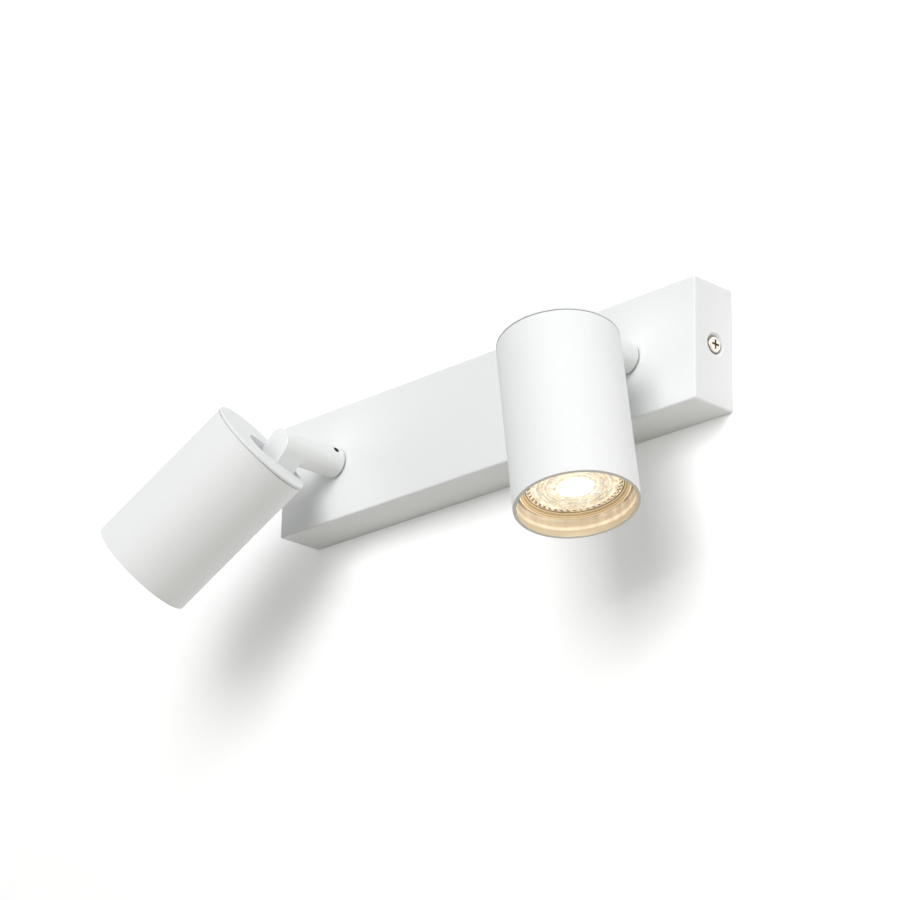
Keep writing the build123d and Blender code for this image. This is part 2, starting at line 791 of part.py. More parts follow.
def lamp_lens():
    """The clear front lens with a notched edge, rings and a central dome."""
    lens = rod_z(lens_radius, -lens_front, -lens_back)
    lens += rod_z(lens_dome_radius, -lens_front - lens_dome_height, -lens_front)
    lens = fillet(lens.edges().sort_by(Axis.Z)[0], lens_dome_edge)
    for radius in lens_ring_radii:
        groove_top = -lens_front + lens_ring_depth
        groove = rod_z(radius + lens_ring_width / 2, -lens_front, groove_top)
        lens -= groove - rod_z(radius - lens_ring_width / 2, -lens_front, groove_top)
    notch = Box(lens_notch_length, lens_notch_width, lens_notch_depth)
    spot_radius = lens_radius - lens_notch_length / 2
    depth = -lens_front + lens_notch_depth / 2
    lens -= [Pos(0, 0, depth) * spot * notch for spot in PolarLocations(spot_radius, lens_notch_count)]
    return lens


# Placing and writing


def in_foot(side, piece):
    """Moves a fixed piece of a foot to its side."""
    return Pos(heads[side]["x"], 0, 0) * piece


def on_arm(side, piece):
    """Swivels a hanging piece with its arm and moves it to its side."""
    turn = Axis((0, 0, 0), (0, -1, 0))
    return in_foot(side, piece.rotate(turn, heads[side]["swivel"]))


def on_head(side, piece):
    """Takes a piece from the head's frame to the tilted and swivelled head."""
    hung = Pos(0, pivot_y - leg_drop, pivot_z + pivot_depth) * piece
    turn = Axis((0, pivot_y, pivot_z), (-1, 0, 0))
    return on_arm(side, hung.rotate(turn, heads[side]["tilt"]))


def write(name, pieces):
    """Writes one node, a single solid or a group of separate solids."""
    group = list(pieces) if isinstance(pieces, (list, tuple)) else [pieces]
    solids = [solid for piece in group for solid in piece.solids()]
    shape = solids[0] if len(solids) == 1 else Compound(children=solids)
    export_step(shape, os.path.join("parts", name + ".step"))


def placed(place, side, pieces):
    """Applies a placing function to one piece or to a list."""
    group = pieces if isinstance(pieces, list) else [pieces]
    return [place(side, piece) for piece in group]


bar_pieces = {
    "bar_cover": cover(),
    "cover_screws": cover_screws(),
    "wall_bracket": bracket(),
    "bracket_lugs": bracket_lugs(),
    "cable_grommet": grommet(),
    "terminal_block": terminal_block(),
    "terminal_clamps": terminal_clamps(),
    "terminal_screws": terminal_screws(),
    "block_screws": block_screws(),
    "live_cores": lamp_cores(0),
    "neutral_cores": lamp_cores(1),
    "earth_cores": lamp_cores(2) + [earth_link()],
    "earth_tag": earth_tag(),
    "earth_screw": earth_screw(),
}
foot_pieces = {
    "post": post(),
    "post_nut": post_nut(),
    "post_washer": post_washer(),
    "friction_washer": friction_washer(),
}
arm_pieces = {
    "arm": arm(),
    "grub_screw": grub_screw(),
    "arm_lead": arm_lead(),
}
head_pieces = {
    "tube": tube(),
    "end_cap": cap(),
    "pivot_screws": pivot_screws(),
    "tilt_washers": tilt_washers(),
    "holder_plate": holder_plate(),
    "holder_screws": holder_screws(),
    "lamp_holder": lamp_holder(),
    "holder_contacts": holder_contacts(),
    "head_cores": head_cores(),
    "lamp_shell": lamp_shell(),
    "lamp_pins": lamp_pins(),
    "lamp_board": lamp_board(),
    "lamp_chip": lamp_chip(),
    "lamp_lens": lamp_lens(),
}

os.makedirs("parts", exist_ok=True)
for name, pieces in bar_pieces.items():
    write(name, pieces)
for side in heads:
    for place, group in ((in_foot, foot_pieces), (on_arm, arm_pieces), (on_head, head_pieces)):
        for name, pieces in group.items():
            write(f"{side}_{name}", placed(place, side, pieces))
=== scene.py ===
# %% [markdown]
# # A wall bar with two spot heads
# The real object is a white bar on a wall, with two short arms that swivel and two round heads that
# tilt. Its solid shapes come from the imported model, which is loaded as a fixed frame in metres. This
# lesson dresses that frame: it makes the finishes, the lenses of the lamps, the wall and the light.

# %% Load the frame
import json
import math
import bmesh
import bpy
from mathutils import Matrix, Vector


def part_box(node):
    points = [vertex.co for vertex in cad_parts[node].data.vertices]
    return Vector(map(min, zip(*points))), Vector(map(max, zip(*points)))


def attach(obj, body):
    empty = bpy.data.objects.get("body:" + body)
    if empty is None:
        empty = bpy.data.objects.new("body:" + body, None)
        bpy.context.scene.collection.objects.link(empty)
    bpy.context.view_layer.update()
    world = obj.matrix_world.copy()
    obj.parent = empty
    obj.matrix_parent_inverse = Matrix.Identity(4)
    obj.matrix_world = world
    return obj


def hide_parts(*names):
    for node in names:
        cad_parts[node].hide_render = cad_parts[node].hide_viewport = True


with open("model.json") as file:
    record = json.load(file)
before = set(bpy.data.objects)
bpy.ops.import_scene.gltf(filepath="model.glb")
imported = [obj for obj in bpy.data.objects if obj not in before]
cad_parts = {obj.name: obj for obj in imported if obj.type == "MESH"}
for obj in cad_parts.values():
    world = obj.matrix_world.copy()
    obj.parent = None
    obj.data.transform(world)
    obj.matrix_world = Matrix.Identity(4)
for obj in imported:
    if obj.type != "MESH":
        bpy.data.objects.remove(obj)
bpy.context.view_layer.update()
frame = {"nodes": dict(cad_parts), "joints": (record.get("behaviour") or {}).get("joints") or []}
nodes = frame["nodes"]
joints = {joint["name"]: joint for joint in frame["joints"]}
SIDES = ("left", "right")
MM = 0.001
scene = bpy.context.scene
scene.view_settings.view_transform = "Standard"

# %% [markdown]
# ## The camera
# The photograph is square and was taken from below and to the right, with a long lens. A camera can be
# placed by hand, but its lens, direction, tilt and distance were solved from the edges of the bar
# and the heads, so they are written as those few numbers and the place follows from them. The camera
# turns level towards the aim point first, and then rolls about its own line of sight.

# %% Place the camera
PHOTO_SIDE = 900
FOCAL_PIXELS = 3241.7
SENSOR_WIDTH = 36.0
VIEW_AZIMUTH, VIEW_ELEVATION, VIEW_ROLL = 46.70, -20.70, 1.32
VIEW_DISTANCE = 1565.8 * MM
AIM_POINT = Vector((-22.72, -20.0, -11.38)) * MM


def direction(azimuth, elevation):
    """The direction at an azimuth, counted from the front to the right, and an elevation, in degrees."""
    turn, rise = math.radians(azimuth), math.radians(elevation)
    return Vector((math.sin(turn) * math.cos(rise), -math.cos(turn) * math.cos(rise), math.sin(rise)))


lens_data = bpy.data.cameras.new("photo_camera")
lens_data.sensor_width = SENSOR_WIDTH
lens_data.lens = FOCAL_PIXELS / PHOTO_SIDE * SENSOR_WIDTH
camera = bpy.data.objects.new("photo_camera", lens_data)
scene.collection.objects.link(camera)
scene.camera = camera
towards_camera = direction(VIEW_AZIMUTH, VIEW_ELEVATION)
level_turn = (-towards_camera).to_track_quat("-Z", "Y").to_matrix().to_4x4()
camera.matrix_world = (Matrix.Translation(AIM_POINT + towards_camera * VIEW_DISTANCE)
                       @ level_turn @ Matrix.Rotation(math.radians(VIEW_ROLL), 4, "Z"))
print("camera at", camera.matrix_world.translation, "with a lens of", round(lens_data.lens, 2), "mm")

# %% [markdown]
# ## Nodes and colours
# Every finish below is a small tree of shader nodes. One function adds a node, sets its settings and
# feeds its inputs, so that a tree reads as a list of steps. An input is known by its name, or by its
# place where names repeat. It takes a number, a socket, or a whole node, whose first live output is
# then meant. Colours are written as screen hex values and turned to the linear numbers of a shader.

# %% Node and colour helpers
def add(tree, kind, inputs=None, **settings):
    """Adds a node, with its settings, and feeds its inputs from values, sockets or nodes."""
    node = tree.nodes.new("ShaderNode" + kind)
    for name, value in settings.items():
        setattr(node, name, value)
    by_name = {socket.name: socket for socket in reversed(node.inputs) if socket.enabled}
    for key, source in (inputs or {}).items():
        socket = node.inputs[key] if isinstance(key, int) else by_name[key]
        feed(tree, socket, source)
    return node


def feed(tree, socket, source):
    """Sets an input to a value, or links it to a socket or to a node's first live output."""
    if isinstance(source, bpy.types.Node):
        source = next(output for output in source.outputs if output.enabled)
    if isinstance(source, bpy.types.NodeSocket):
        tree.links.new(source, socket)
    else:
        socket.default_value = source


def linear(hex_colour):
    """A screen colour such as #F0F1F0 as linear red, green, blue and alpha."""
    shares = [int(hex_colour[i:i + 2], 16) / 255 for i in (1, 3, 5)]
    return [c / 12.92 if c <= 0.04045 else ((c + 0.055) / 1.055) ** 2.4 for c in shares] + [1.0]


print("a screen grey of #808080 is", round(linear("#808080")[0], 3), "to a shader")

# %% [markdown]
# ## Grained finishes
# Paint, plastic, rubber, ceramic and plated metal are never one flat colour. Close up, each has a grain
# of its own size that changes the colour, the gloss and the surface a little together. One noise in the
# piece's own coordinates gives all three, at a size in millimetres, so the grain stays with the piece
# when it moves.

# %% A finish with a grain
GRAIN_DETAIL = 3.0


def grained(name, dark, light, grain, gloss, bump, metallic=0.0, ior=1.5):
    """A finish whose colour, roughness and height follow one noise with a grain in millimetres."""
    material = bpy.data.materials.new(name)
    material.use_nodes = True
    tree = material.node_tree
    shader = tree.nodes["Principled BSDF"]
    shader.inputs["Metallic"].default_value = metallic
    if not metallic:
        shader.inputs["IOR"].default_value = ior
    place = add(tree, "TexCoord")
    noise = add(tree, "TexNoise", {"Vector": place.outputs["Object"], "Scale": 1 / (grain * MM),
                                   "Detail": GRAIN_DETAIL})
    colour = add(tree, "Mix", {"Factor": noise, "A": linear(dark), "B": linear(light)}, data_type="RGBA")
    rough = add(tree, "MapRange", {"Value": noise, "To Min": gloss[0], "To Max": gloss[1]})
    height = add(tree, "Bump", {"Height": noise, "Distance": bump * MM})
    feed(tree, shader.inputs["Base Color"], colour)
    feed(tree, shader.inputs["Roughness"], rough)
    feed(tree, shader.inputs["Normal"], height)
    return material


def dress(material, *names):
    """Puts a finish on nodes of the frame."""
    for name in names:
        nodes[name].material_slots[0].material = material
    print(material.name, "on", ", ".join(names))


def both(*names):
    """The left and the right node of each name."""
    return [f"{side}_{name}" for side in SIDES for name in names]


print("the two arms are", " and ".join(both("arm")))

# %% [markdown]
# ## White powder coat
# The bar, the arms and the heads are steel and aluminium with a satin white powder coat. The powder
# melts into a skin with a very fine orange peel, which breaks up highlights. Its waves are about 0.5 mm
# long, which is one pixel here, so they are drawn at 0.9 mm. The bar's cover is nothing but paint.

# %% Paint the bar
PAINT_DARK, PAINT_LIGHT = "#E7E9E9", "#EEEFEF"
PAINT_GLOSS = (0.60, 0.72)
PAINT_GRAIN, PAINT_BUMP = 0.9, 0.012


def painted(name):
    """The white powder coat under a name of its own, to be changed in places."""
    return grained(name, PAINT_DARK, PAINT_LIGHT, PAINT_GRAIN, PAINT_GLOSS, PAINT_BUMP)


dress(painted("white_powder_coat"), "bar_cover")

# %% [markdown]
# ## The heads' own frames
# Everything in a head is round about one line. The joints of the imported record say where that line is:
# the lamp turns about it, and it starts at the top of the cap. A matrix made from the joints takes
# points from the head's own frame, with Z towards the mouth, to where the head is. The same matrix lets
# a finish ask how far a point is from the line and how deep it lies, in millimetres.

# %% Read the heads' frames
def head_frame(side):
    """The frame of a head: the origin on the cap's top, Z towards the mouth, X along the tilt axis."""
    turn = joints[f"{side}_lamp_twist"]
    along = Vector(turn["axis"]).normalized()
    across = Vector(joints[f"{side}_tilt"]["axis"]).normalized()
    axes = Matrix((across, along.cross(across), along)).transposed()
    return Matrix.Translation(turn["pos_m"]) @ axes.to_4x4()


def in_frame(tree, matrix):
    """Adds nodes that give a point's place in a frame and its distance from Z, in millimetres."""
    place = add(tree, "TexCoord")
    own = add(tree, "Mapping", {"Vector": place.outputs["Object"], "Location": matrix.translation,
                                "Rotation": matrix.to_euler(), "Scale": (MM, MM, MM)},
              vector_type="TEXTURE")
    sideways = add(tree, "VectorMath", {0: own, 1: (1, 1, 0)}, operation="MULTIPLY")
    return own, add(tree, "VectorMath", {0: sideways}, operation="LENGTH").outputs["Value"]


def mixed_in(tree, mask, colour):
    """Lays a colour over a finish's base colour where a mask is 1."""
    socket = tree.nodes["Principled BSDF"].inputs["Base Color"]
    below = socket.links[0].from_socket
    laid = add(tree, "Mix", {"Factor": mask, "A": below, "B": linear(colour)}, data_type="RGBA")
    feed(tree, socket, laid)


def levels_along(tree, distance, levels):
    """Adds nodes that read a level from a table by distance in millimetres, with straight lines between."""
    spots = list(levels)
    share = add(tree, "MapRange", {"Value": distance, "From Min": spots[0], "From Max": spots[-1]})
    table = add(tree, "ValToRGB", {"Fac": share})
    stops = table.color_ramp.elements
    while len(stops) < len(spots):
        stops.new(position=0.5)
    for stop, spot in zip(stops, spots):
        stop.position = (spot - spots[0]) / (spots[-1] - spots[0])
        stop.color = (levels[spot], levels[spot], levels[spot], 1)
    return table


for side in SIDES:
    print(side, "cap at", [round(x / MM, 2) for x in head_frame(side).translation], "mm")

# %% [markdown]
# ## Caps and arms
# A cap's disc stands off the tube by half a millimetre, and the joint is a thin dark line of painted shade.
# The walls of the cap's slot are so close that white paint lights white paint over and over, more often
# than a render follows, so they get a little glow, which fades with the depth. The hole of an arm's grub
# screw is deep and takes no light, so painted shade darkens the paint round its thread. The hole's line
# runs from the swivel axis through the middle of the grub screw.

# %% Finish the caps and arms
SLOT_LIMIT, SLOT_TINT = 26.6, "#E4ECF4"
# JOINT_SHADE is painted shade along the joint to the tube.
JOINT_DEPTH, JOINT_SHADE = 1.05, "#D0D3D5"
SLOT_GLOW = {0.2: 0.0, 0.3: 0.20, 1.6: 0.17, 3.0: 0.04, 8.0: 0.0}
# HOLE_SHADE is painted shade in the deep hole of the grub screw.
HOLE_RADIUS, HOLE_BOTTOM, HOLE_SHADE = 1.6, -1.0, "#4A4234"


def cap_finish(side):
    """Powder coat with painted shade at the joint to the tube and light between the walls of the slot."""
    material = painted(f"{side}_cap_powder_coat")
    tree = material.node_tree
    shader = tree.nodes["Principled BSDF"]
    own, distance = in_frame(tree, head_frame(side))
    depth = add(tree, "SeparateXYZ", {"Vector": own}).outputs["Z"]
    outer = add(tree, "Math", {0: distance, 1: SLOT_LIMIT}, operation="GREATER_THAN")
    low = add(tree, "Math", {0: depth, 1: JOINT_DEPTH}, operation="GREATER_THAN")
    mixed_in(tree, add(tree, "Math", {0: outer, 1: low}, operation="MULTIPLY"), JOINT_SHADE)
    inner = add(tree, "Math", {0: distance, 1: SLOT_LIMIT}, operation="LESS_THAN")
    glow = add(tree, "Math", {0: inner, 1: levels_along(tree, depth, SLOT_GLOW)}, operation="MULTIPLY")
    shader.inputs["Emission Color"].default_value = linear(SLOT_TINT)
    feed(tree, shader.inputs["Emission Strength"], glow)
    return material


def arm_finish(side):
    """Powder coat with painted shade in the hole of the grub screw."""
    material = painted(f"{side}_arm_powder_coat")
    tree = material.node_tree
    low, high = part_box(f"{side}_grub_screw")
    middle = (low + high) / 2
    outwards = middle - Vector(joints[f"{side}_swivel"]["pos_m"])
    outwards.y = 0
    turn = outwards.to_track_quat("Z", "Y").to_matrix().to_4x4()
    own, distance = in_frame(tree, Matrix.Translation(middle) @ turn)
    height = add(tree, "SeparateXYZ", {"Vector": own}).outputs["Z"]
    near = add(tree, "Math", {0: distance, 1: HOLE_RADIUS}, operation="LESS_THAN")
    above = add(tree, "Math", {0: height, 1: HOLE_BOTTOM}, operation="GREATER_THAN")
    mixed_in(tree, add(tree, "Math", {0: near, 1: above}, operation="MULTIPLY"), HOLE_SHADE)
    return material


for side in SIDES:
    dress(cap_finish(side), f"{side}_end_cap")
    dress(arm_finish(side), f"{side}_arm")

# %% [markdown]
# ## Painted and turned tubes
# A head's tube is aluminium. Outside it has the same powder coat as the bar. Inside it is turned on a
# lathe and clear lacquered, a satin with fine lines round it, whose warm cream is the lamp's light painted
# into its colour. Its lip is turned bare, and the lip's darker grey is painted shade, for it faces down.
# One shader serves all, because the wall is a single piece: the distance from the axis says which side
# a point is on, and its depth says whether it is on the lip. The lines are about 0.15 mm apart in truth
# and are drawn at 0.5 mm. Beside the lamp's rim, and in a soft ring 4 mm inside the mouth, the light
# that the lamp's plastic spills gathers on the wall. Such gathered light would take very many samples,
# so the wall glows there, in faint upright streaks.

# %% Finish the tubes
BORE_LIMIT = 26.6
LINE_SPACING, LINE_LENGTH, LINE_DETAIL, LINE_BUMP = 0.5, 25.0, 2.0, 0.010
# The bore's warm colours are the lamp's light painted in.
TURNED_LAMPLIT_DARK, TURNED_LAMPLIT_LIGHT = "#DDD1BB", "#FAF2E2"
TURNED_GLOSS = (0.30, 0.42)
TURNED_SHEEN = 0.12
WARM_WHITE, SPILL_TINT = "#FFE8C2", "#FFF4DC"
STREAK_WIDTH, STREAK_LENGTH = 3.0, 40.0
STREAK_NOISE, STREAK_RANGE = (0.3, 0.7), (0.5, 1.5)
WALL_GLOW = {73.0: 0.0, 75.0: 0.18, 76.3: 0.24, 76.9: 0.46, 77.6: 0.32, 78.5: 0.17, 80.2: 0.12, 81.0: 0.42,
             81.6: 0.40, 82.5: 0.05, 83.5: 0.0, 85.5: 0.0}
# The lip's darker grey is painted shade.
LIP_DEPTH, LIP_PAINTED_SHADE = 85.3, "#C6C3BA"


def tube_finish(side):
    """Powder coat outside, and turned metal inside with painted lamplight, and painted shade on the lip."""
    material = painted(f"{side}_tube_powder_coat_and_turned_aluminium")
    tree = material.node_tree
    shader = tree.nodes["Principled BSDF"]
    own, distance = in_frame(tree, head_frame(side))
    inside = add(tree, "Math", {0: distance, 1: BORE_LIMIT}, operation="LESS_THAN")
    line_scale = (1 / LINE_LENGTH, 1 / LINE_LENGTH, 1 / LINE_SPACING)
    stretched = add(tree, "Mapping", {"Vector": own, "Scale": line_scale})
    lines = add(tree, "TexNoise", {"Vector": stretched, "Scale": 1.0, "Detail": LINE_DETAIL})
    metal = add(tree, "Mix", {"Factor": lines, "A": linear(TURNED_LAMPLIT_DARK), "B": linear(TURNED_LAMPLIT_LIGHT)},
                data_type="RGBA")
    gloss = add(tree, "MapRange", {"Value": lines, "To Min": TURNED_GLOSS[0], "To Max": TURNED_GLOSS[1]})
    ridges = add(tree, "Bump", {"Height": lines, "Distance": LINE_BUMP * MM})
    depth = add(tree, "SeparateXYZ", {"Vector": own}).outputs["Z"]
    lip = add(tree, "Math", {0: depth, 1: LIP_DEPTH}, operation="GREATER_THAN")
    metal_with_shaded_lip = add(tree, "Mix", {"Factor": lip, "A": metal, "B": linear(LIP_PAINTED_SHADE)}, data_type="RGBA")
    turned = add(tree, "Math", {0: inside, 1: lip}, operation="MAXIMUM")
    for name, metal_source, kind in (("Base Color", metal_with_shaded_lip, "RGBA"), ("Roughness", gloss, "FLOAT"),
                                     ("Normal", ridges, "VECTOR")):
        paint_source = shader.inputs[name].links[0].from_socket
        choice = add(tree, "Mix", {"Factor": turned, "A": paint_source, "B": metal_source}, data_type=kind)
        feed(tree, shader.inputs[name], choice)
    feed(tree, shader.inputs["Metallic"], add(tree, "MapRange", {"Value": turned, "To Max": TURNED_SHEEN}))
    streak_scale = (1 / STREAK_WIDTH, 1 / STREAK_WIDTH, 1 / STREAK_LENGTH)
    upright = add(tree, "Mapping", {"Vector": own, "Scale": streak_scale})
    cloud = add(tree, "TexNoise", {"Vector": upright, "Scale": 1.0})
    streaks = add(tree, "MapRange", {"Value": cloud,
                                     "From Min": STREAK_NOISE[0], "From Max": STREAK_NOISE[1],
                                     "To Min": STREAK_RANGE[0], "To Max": STREAK_RANGE[1]})
    glow = add(tree, "Math", {0: levels_along(tree, depth, WALL_GLOW), 1: streaks}, operation="MULTIPLY")
    glow = add(tree, "Math", {0: inside, 1: glow}, operation="MULTIPLY")
    shader.inputs["Emission Color"].default_value = linear(SPILL_TINT)
    feed(tree, shader.inputs["Emission Strength"], glow)
    return material


for side in SIDES:
    dress(tube_finish(side), f"{side}_tube")

# %% [markdown]
# ## Zinc, black oxide and brass
# The posts, nuts, toothed washers and inner screws are zinc plated steel. The grub screws are
# blackened. Terminal clamps, contacts and lamp pins are brass. Plating is glossy but slightly clouded,
# so each is a metal with a grain in its gloss, and these three need nothing more.

# %% Plate the metal pieces
zinc = grained("zinc_plated_steel", "#AEB3B6", "#CDD2D4",
               grain=0.6, gloss=(0.28, 0.44), bump=0.004, metallic=1.0)
dress(zinc, "block_screws", "earth_screw", "earth_tag", "terminal_screws",
      *both("post", "post_nut", "post_washer", "pivot_screws", "holder_screws"))
black_oxide = grained("black_oxide_steel", "#161617", "#2C2C2E",
                      grain=0.5, gloss=(0.38, 0.52), bump=0.004, metallic=1.0)
dress(black_oxide, *both("grub_screw"))
brass = grained("drawn_brass", "#B08A45", "#D3B26A",
                grain=0.5, gloss=(0.22, 0.36), bump=0.003, metallic=1.0)
dress(brass, "terminal_clamps", *both("holder_contacts", "lamp_pins"))

# %% [markdown]
# ## Nickel screws
# Each cover screw is nickel plated, which is a warm silver, and has a pan head with a cross recess. In
# the recess and round the foot of the head, a screw mirrors only its own dark corners, so both are
# painted as dark lines of shade and dark reflection. The two screws lie on one line, so the box of the
# pair gives that line and the height of the heads, and a point's distance from the line tells where on a
# head it is.

# %% Plate the cover screws
# The recess and the foot of the head get painted shade and a painted dark reflection.
RECESS_REACH, RECESS_EDGE, RECESS_SHADE = 2.45, 0.15, "#B4A283"
HEAD_FOOT, FOOT_SHADE = {3.4: 0.0, 3.7: 0.45, 3.9: 0.6}, "#8E7A5E"
nickel = grained("nickel_plated_steel", "#DAD6CE", "#F0EDE6",
                 grain=0.8, gloss=(0.20, 0.32), bump=0.004, metallic=1.0)
nickel_tree = nickel.node_tree
screws_low, screws_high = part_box("cover_screws")
screw_line = Matrix.Translation((screws_low + screws_high) / 2) @ Matrix.Rotation(math.radians(90), 4, "Y")
on_screw, from_line = in_frame(nickel_tree, screw_line)
head_top = (screws_high.x - screws_low.x) / 2 / MM
along_line = add(nickel_tree, "SeparateXYZ", {"Vector": on_screw}).outputs["Z"]
from_middle = add(nickel_tree, "Math", {0: along_line}, operation="ABSOLUTE")
sunk = add(nickel_tree, "Math", {0: from_middle, 1: head_top - RECESS_EDGE}, operation="LESS_THAN")
near = add(nickel_tree, "Math", {0: from_line, 1: RECESS_REACH}, operation="LESS_THAN")
recess = add(nickel_tree, "Math", {0: sunk, 1: near}, operation="MULTIPLY")
mixed_in(nickel_tree, recess, RECESS_SHADE)
mixed_in(nickel_tree, levels_along(nickel_tree, from_line, HEAD_FOOT), FOOT_SHADE)
dress(nickel, "cover_screws")

# %% [markdown]
# ## Galvanised sheet
# The wall strip, its lugs and the lampholder's plates are cut from galvanised sheet. Zinc on dipped
# sheet freezes into crystals, the spangle, 4 to 10 mm across. Each crystal has its own grey and its own
# gloss. Voronoi cells of 7 mm give the crystals, and each cell's random colour is read as its grey.

# %% Galvanise the wall strip
SPANGLE, SPANGLE_SHARE, SPANGLE_GLOSS = 7.0, 0.65, (0.28, 0.50)
SPANGLE_DARK, SPANGLE_LIGHT = "#9DA4A8", "#D3D7D9"
galvanised = grained("galvanised_sheet", "#A9AFB2", "#CBD0D2",
                     grain=0.5, gloss=(0.30, 0.46), bump=0.003, metallic=1.0)
sheet_tree = galvanised.node_tree
sheet_shader = sheet_tree.nodes["Principled BSDF"]
sheet_place = add(sheet_tree, "TexCoord")
crystals = add(sheet_tree, "TexVoronoi", {"Vector": sheet_place.outputs["Object"],
                                          "Scale": 1 / (SPANGLE * MM)})
crystal_grey = add(sheet_tree, "SeparateColor", {"Color": crystals.outputs["Color"]})
crystal_colour = add(sheet_tree, "Mix", {"Factor": crystal_grey, "A": linear(SPANGLE_DARK),
                                         "B": linear(SPANGLE_LIGHT)}, data_type="RGBA")
grain_colour = sheet_shader.inputs["Base Color"].links[0].from_socket
spangled = add(sheet_tree, "Mix", {"Factor": SPANGLE_SHARE, "A": grain_colour, "B": crystal_colour},
               data_type="RGBA")
spangle_gloss = add(sheet_tree, "MapRange", {"Value": crystal_grey,
                                             "To Min": SPANGLE_GLOSS[0], "To Max": SPANGLE_GLOSS[1]})
feed(sheet_tree, sheet_shader.inputs["Base Color"], spangled)
feed(sheet_tree, sheet_shader.inputs["Roughness"], spangle_gloss)
dress(galvanised, "wall_bracket", "bracket_lugs", *both("holder_plate"))

# %% [markdown]
# ## Plastics, rubber and ceramic
# Inside the bar are a polyamide terminal block, a rubber cable grommet and insulated cores. Inside the
# arms and heads are silicone leads, nylon washers, a steatite lampholder and the lamp's board. Moulded
# plastic is satin with a faint flow, rubber is matt and nearly black, and unglazed steatite is white
# with a sandy grain.

# %% Mould the inner pieces
dress(grained("natural_polyamide", "#DEDACD", "#EFECE3",
              grain=1.5, gloss=(0.38, 0.50), bump=0.006, ior=1.53), "terminal_block")
dress(grained("black_rubber", "#161616", "#2A2A29",
              grain=0.4, gloss=(0.62, 0.80), bump=0.010, ior=1.52), "cable_grommet")
dress(grained("white_silicone", "#DCDBD6", "#ECEBE7",
              grain=0.8, gloss=(0.45, 0.58), bump=0.006, ior=1.43), *both("arm_lead", "head_cores"))
dress(grained("dark_nylon", "#333436", "#474849",
              grain=0.6, gloss=(0.42, 0.56), bump=0.005, ior=1.53),
      *both("friction_washer", "tilt_washers"))
dress(grained("unglazed_steatite", "#E2DED3", "#F2EFE7",
              grain=0.35, gloss=(0.50, 0.66), bump=0.008, ior=1.6), *both("lamp_holder"))
dress(grained("white_solder_mask", "#E4E5E3", "#F0F1EF",
              grain=0.5, gloss=(0.30, 0.42), bump=0.003, ior=1.5), *both("lamp_board"))
dress(grained("brown_pvc", "#4A2A18", "#5D3822",
              grain=0.7, gloss=(0.36, 0.50), bump=0.005, ior=1.53), "live_cores")
dress(grained("blue_pvc", "#1F4E9A", "#2E63B4",
              grain=0.7, gloss=(0.36, 0.50), bump=0.005, ior=1.53), "neutral_cores")

# %% [markdown]
# ## Green and yellow earth cores
# An earth core has a yellow stripe along its green sheath. The cores run in planes along the wall, so
# the side of a core that faces the wall, which the surface normal tells, can carry the stripe along
# every run and bend.

# %% Stripe the earth cores
STRIPE_EDGE, STRIPE_COLOUR = 0.35, "#E3C62B"
earth_pvc = grained("green_and_yellow_pvc", "#2F7D32", "#3C8F3E",
                    grain=0.7, gloss=(0.36, 0.50), bump=0.005, ior=1.53)
earth_tree = earth_pvc.node_tree
facing = add(earth_tree, "SeparateXYZ", {"Vector": add(earth_tree, "NewGeometry").outputs["Normal"]})
stripe = add(earth_tree, "Math", {0: facing.outputs["Y"], 1: STRIPE_EDGE}, operation="GREATER_THAN")
mixed_in(earth_tree, stripe, STRIPE_COLOUR)
dress(earth_pvc, "earth_cores")

# %% [markdown]
# ## The lit chip
# The light comes from a round chip under a yellow phosphor gel. Lit, it is a warm white of about
# 3000 K. Its grain is that of the phosphor powder.

# %% Light the chip
CHIP_GLOW = 6.0
phosphor = grained("phosphor_gel", "#D9B23C", "#EBCB63",
                   grain=0.3, gloss=(0.30, 0.45), bump=0.004, ior=1.45)
chip_shader = phosphor.node_tree.nodes["Principled BSDF"]
chip_shader.inputs["Emission Color"].default_value = linear(WARM_WHITE)
chip_shader.inputs["Emission Strength"].default_value = CHIP_GLOW
dress(phosphor, *both("lamp_chip"))

# %% [markdown]
# ## The lamp's body
# The lamp's body is a pale thermoplastic that conducts heat. Its front rim is thin, so some of the
# lamp's light comes through it, and that golden light is painted into the body's colour and its glow.
# The slope inside the rim is dim, and a painted highlight makes the rim's edge a bright line. How much
# glows is read from a table of distances from the axis, on the front only.

# %% Mould the lamp's body
RIM_FRONT = 75.8
# RIM_GLOW holds painted light through the rim and a painted highlight along its edge near 24 mm.
RIM_GLOW = {21.9: 0.34, 22.2: 0.30, 22.5: 0.08, 22.9: 0.04, 23.2: 0.40, 23.5: 0.20, 23.8: 0.06, 24.0: 0.72,
            24.4: 0.66, 24.6: 0.12, 25.1: 0.05}


def shell_finish(side):
    """Pale plastic, painted golden with the lamp's light, with a glowing rim and a painted highlight."""
    # The golden base colour stands for the lamp's light, painted in.
    material = grained(f"{side}_lamp_thermoplastic", "#BFA26E", "#D9BE8B",
                       grain=1.0, gloss=(0.20, 0.32), bump=0.006, ior=1.55)
    tree = material.node_tree
    shader = tree.nodes["Principled BSDF"]
    own, distance = in_frame(tree, head_frame(side))
    depth = add(tree, "SeparateXYZ", {"Vector": own}).outputs["Z"]
    front = add(tree, "Math", {0: depth, 1: RIM_FRONT}, operation="GREATER_THAN")
    glow = add(tree, "Math", {0: front, 1: levels_along(tree, distance, RIM_GLOW)}, operation="MULTIPLY")
    shader.inputs["Emission Color"].default_value = linear(WARM_WHITE)
    feed(tree, shader.inputs["Emission Strength"], glow)
    return material


for side in SIDES:
    dress(shell_finish(side), f"{side}_lamp_shell")

# %% [markdown]
# ## The lens
# A reflector lamp's front is one moulded lens: a clear crown in the middle, rings of small facets that
# spread the beam, and a toothed edge where it was clipped in. The disc is a profile spun round the
# axis. A facet and a tooth are modelled once and copied round by a spin that duplicates. All of it is
# made in the head's frame in millimetres and then moved into place, so the finished piece sits at the
# origin like a node of the frame.

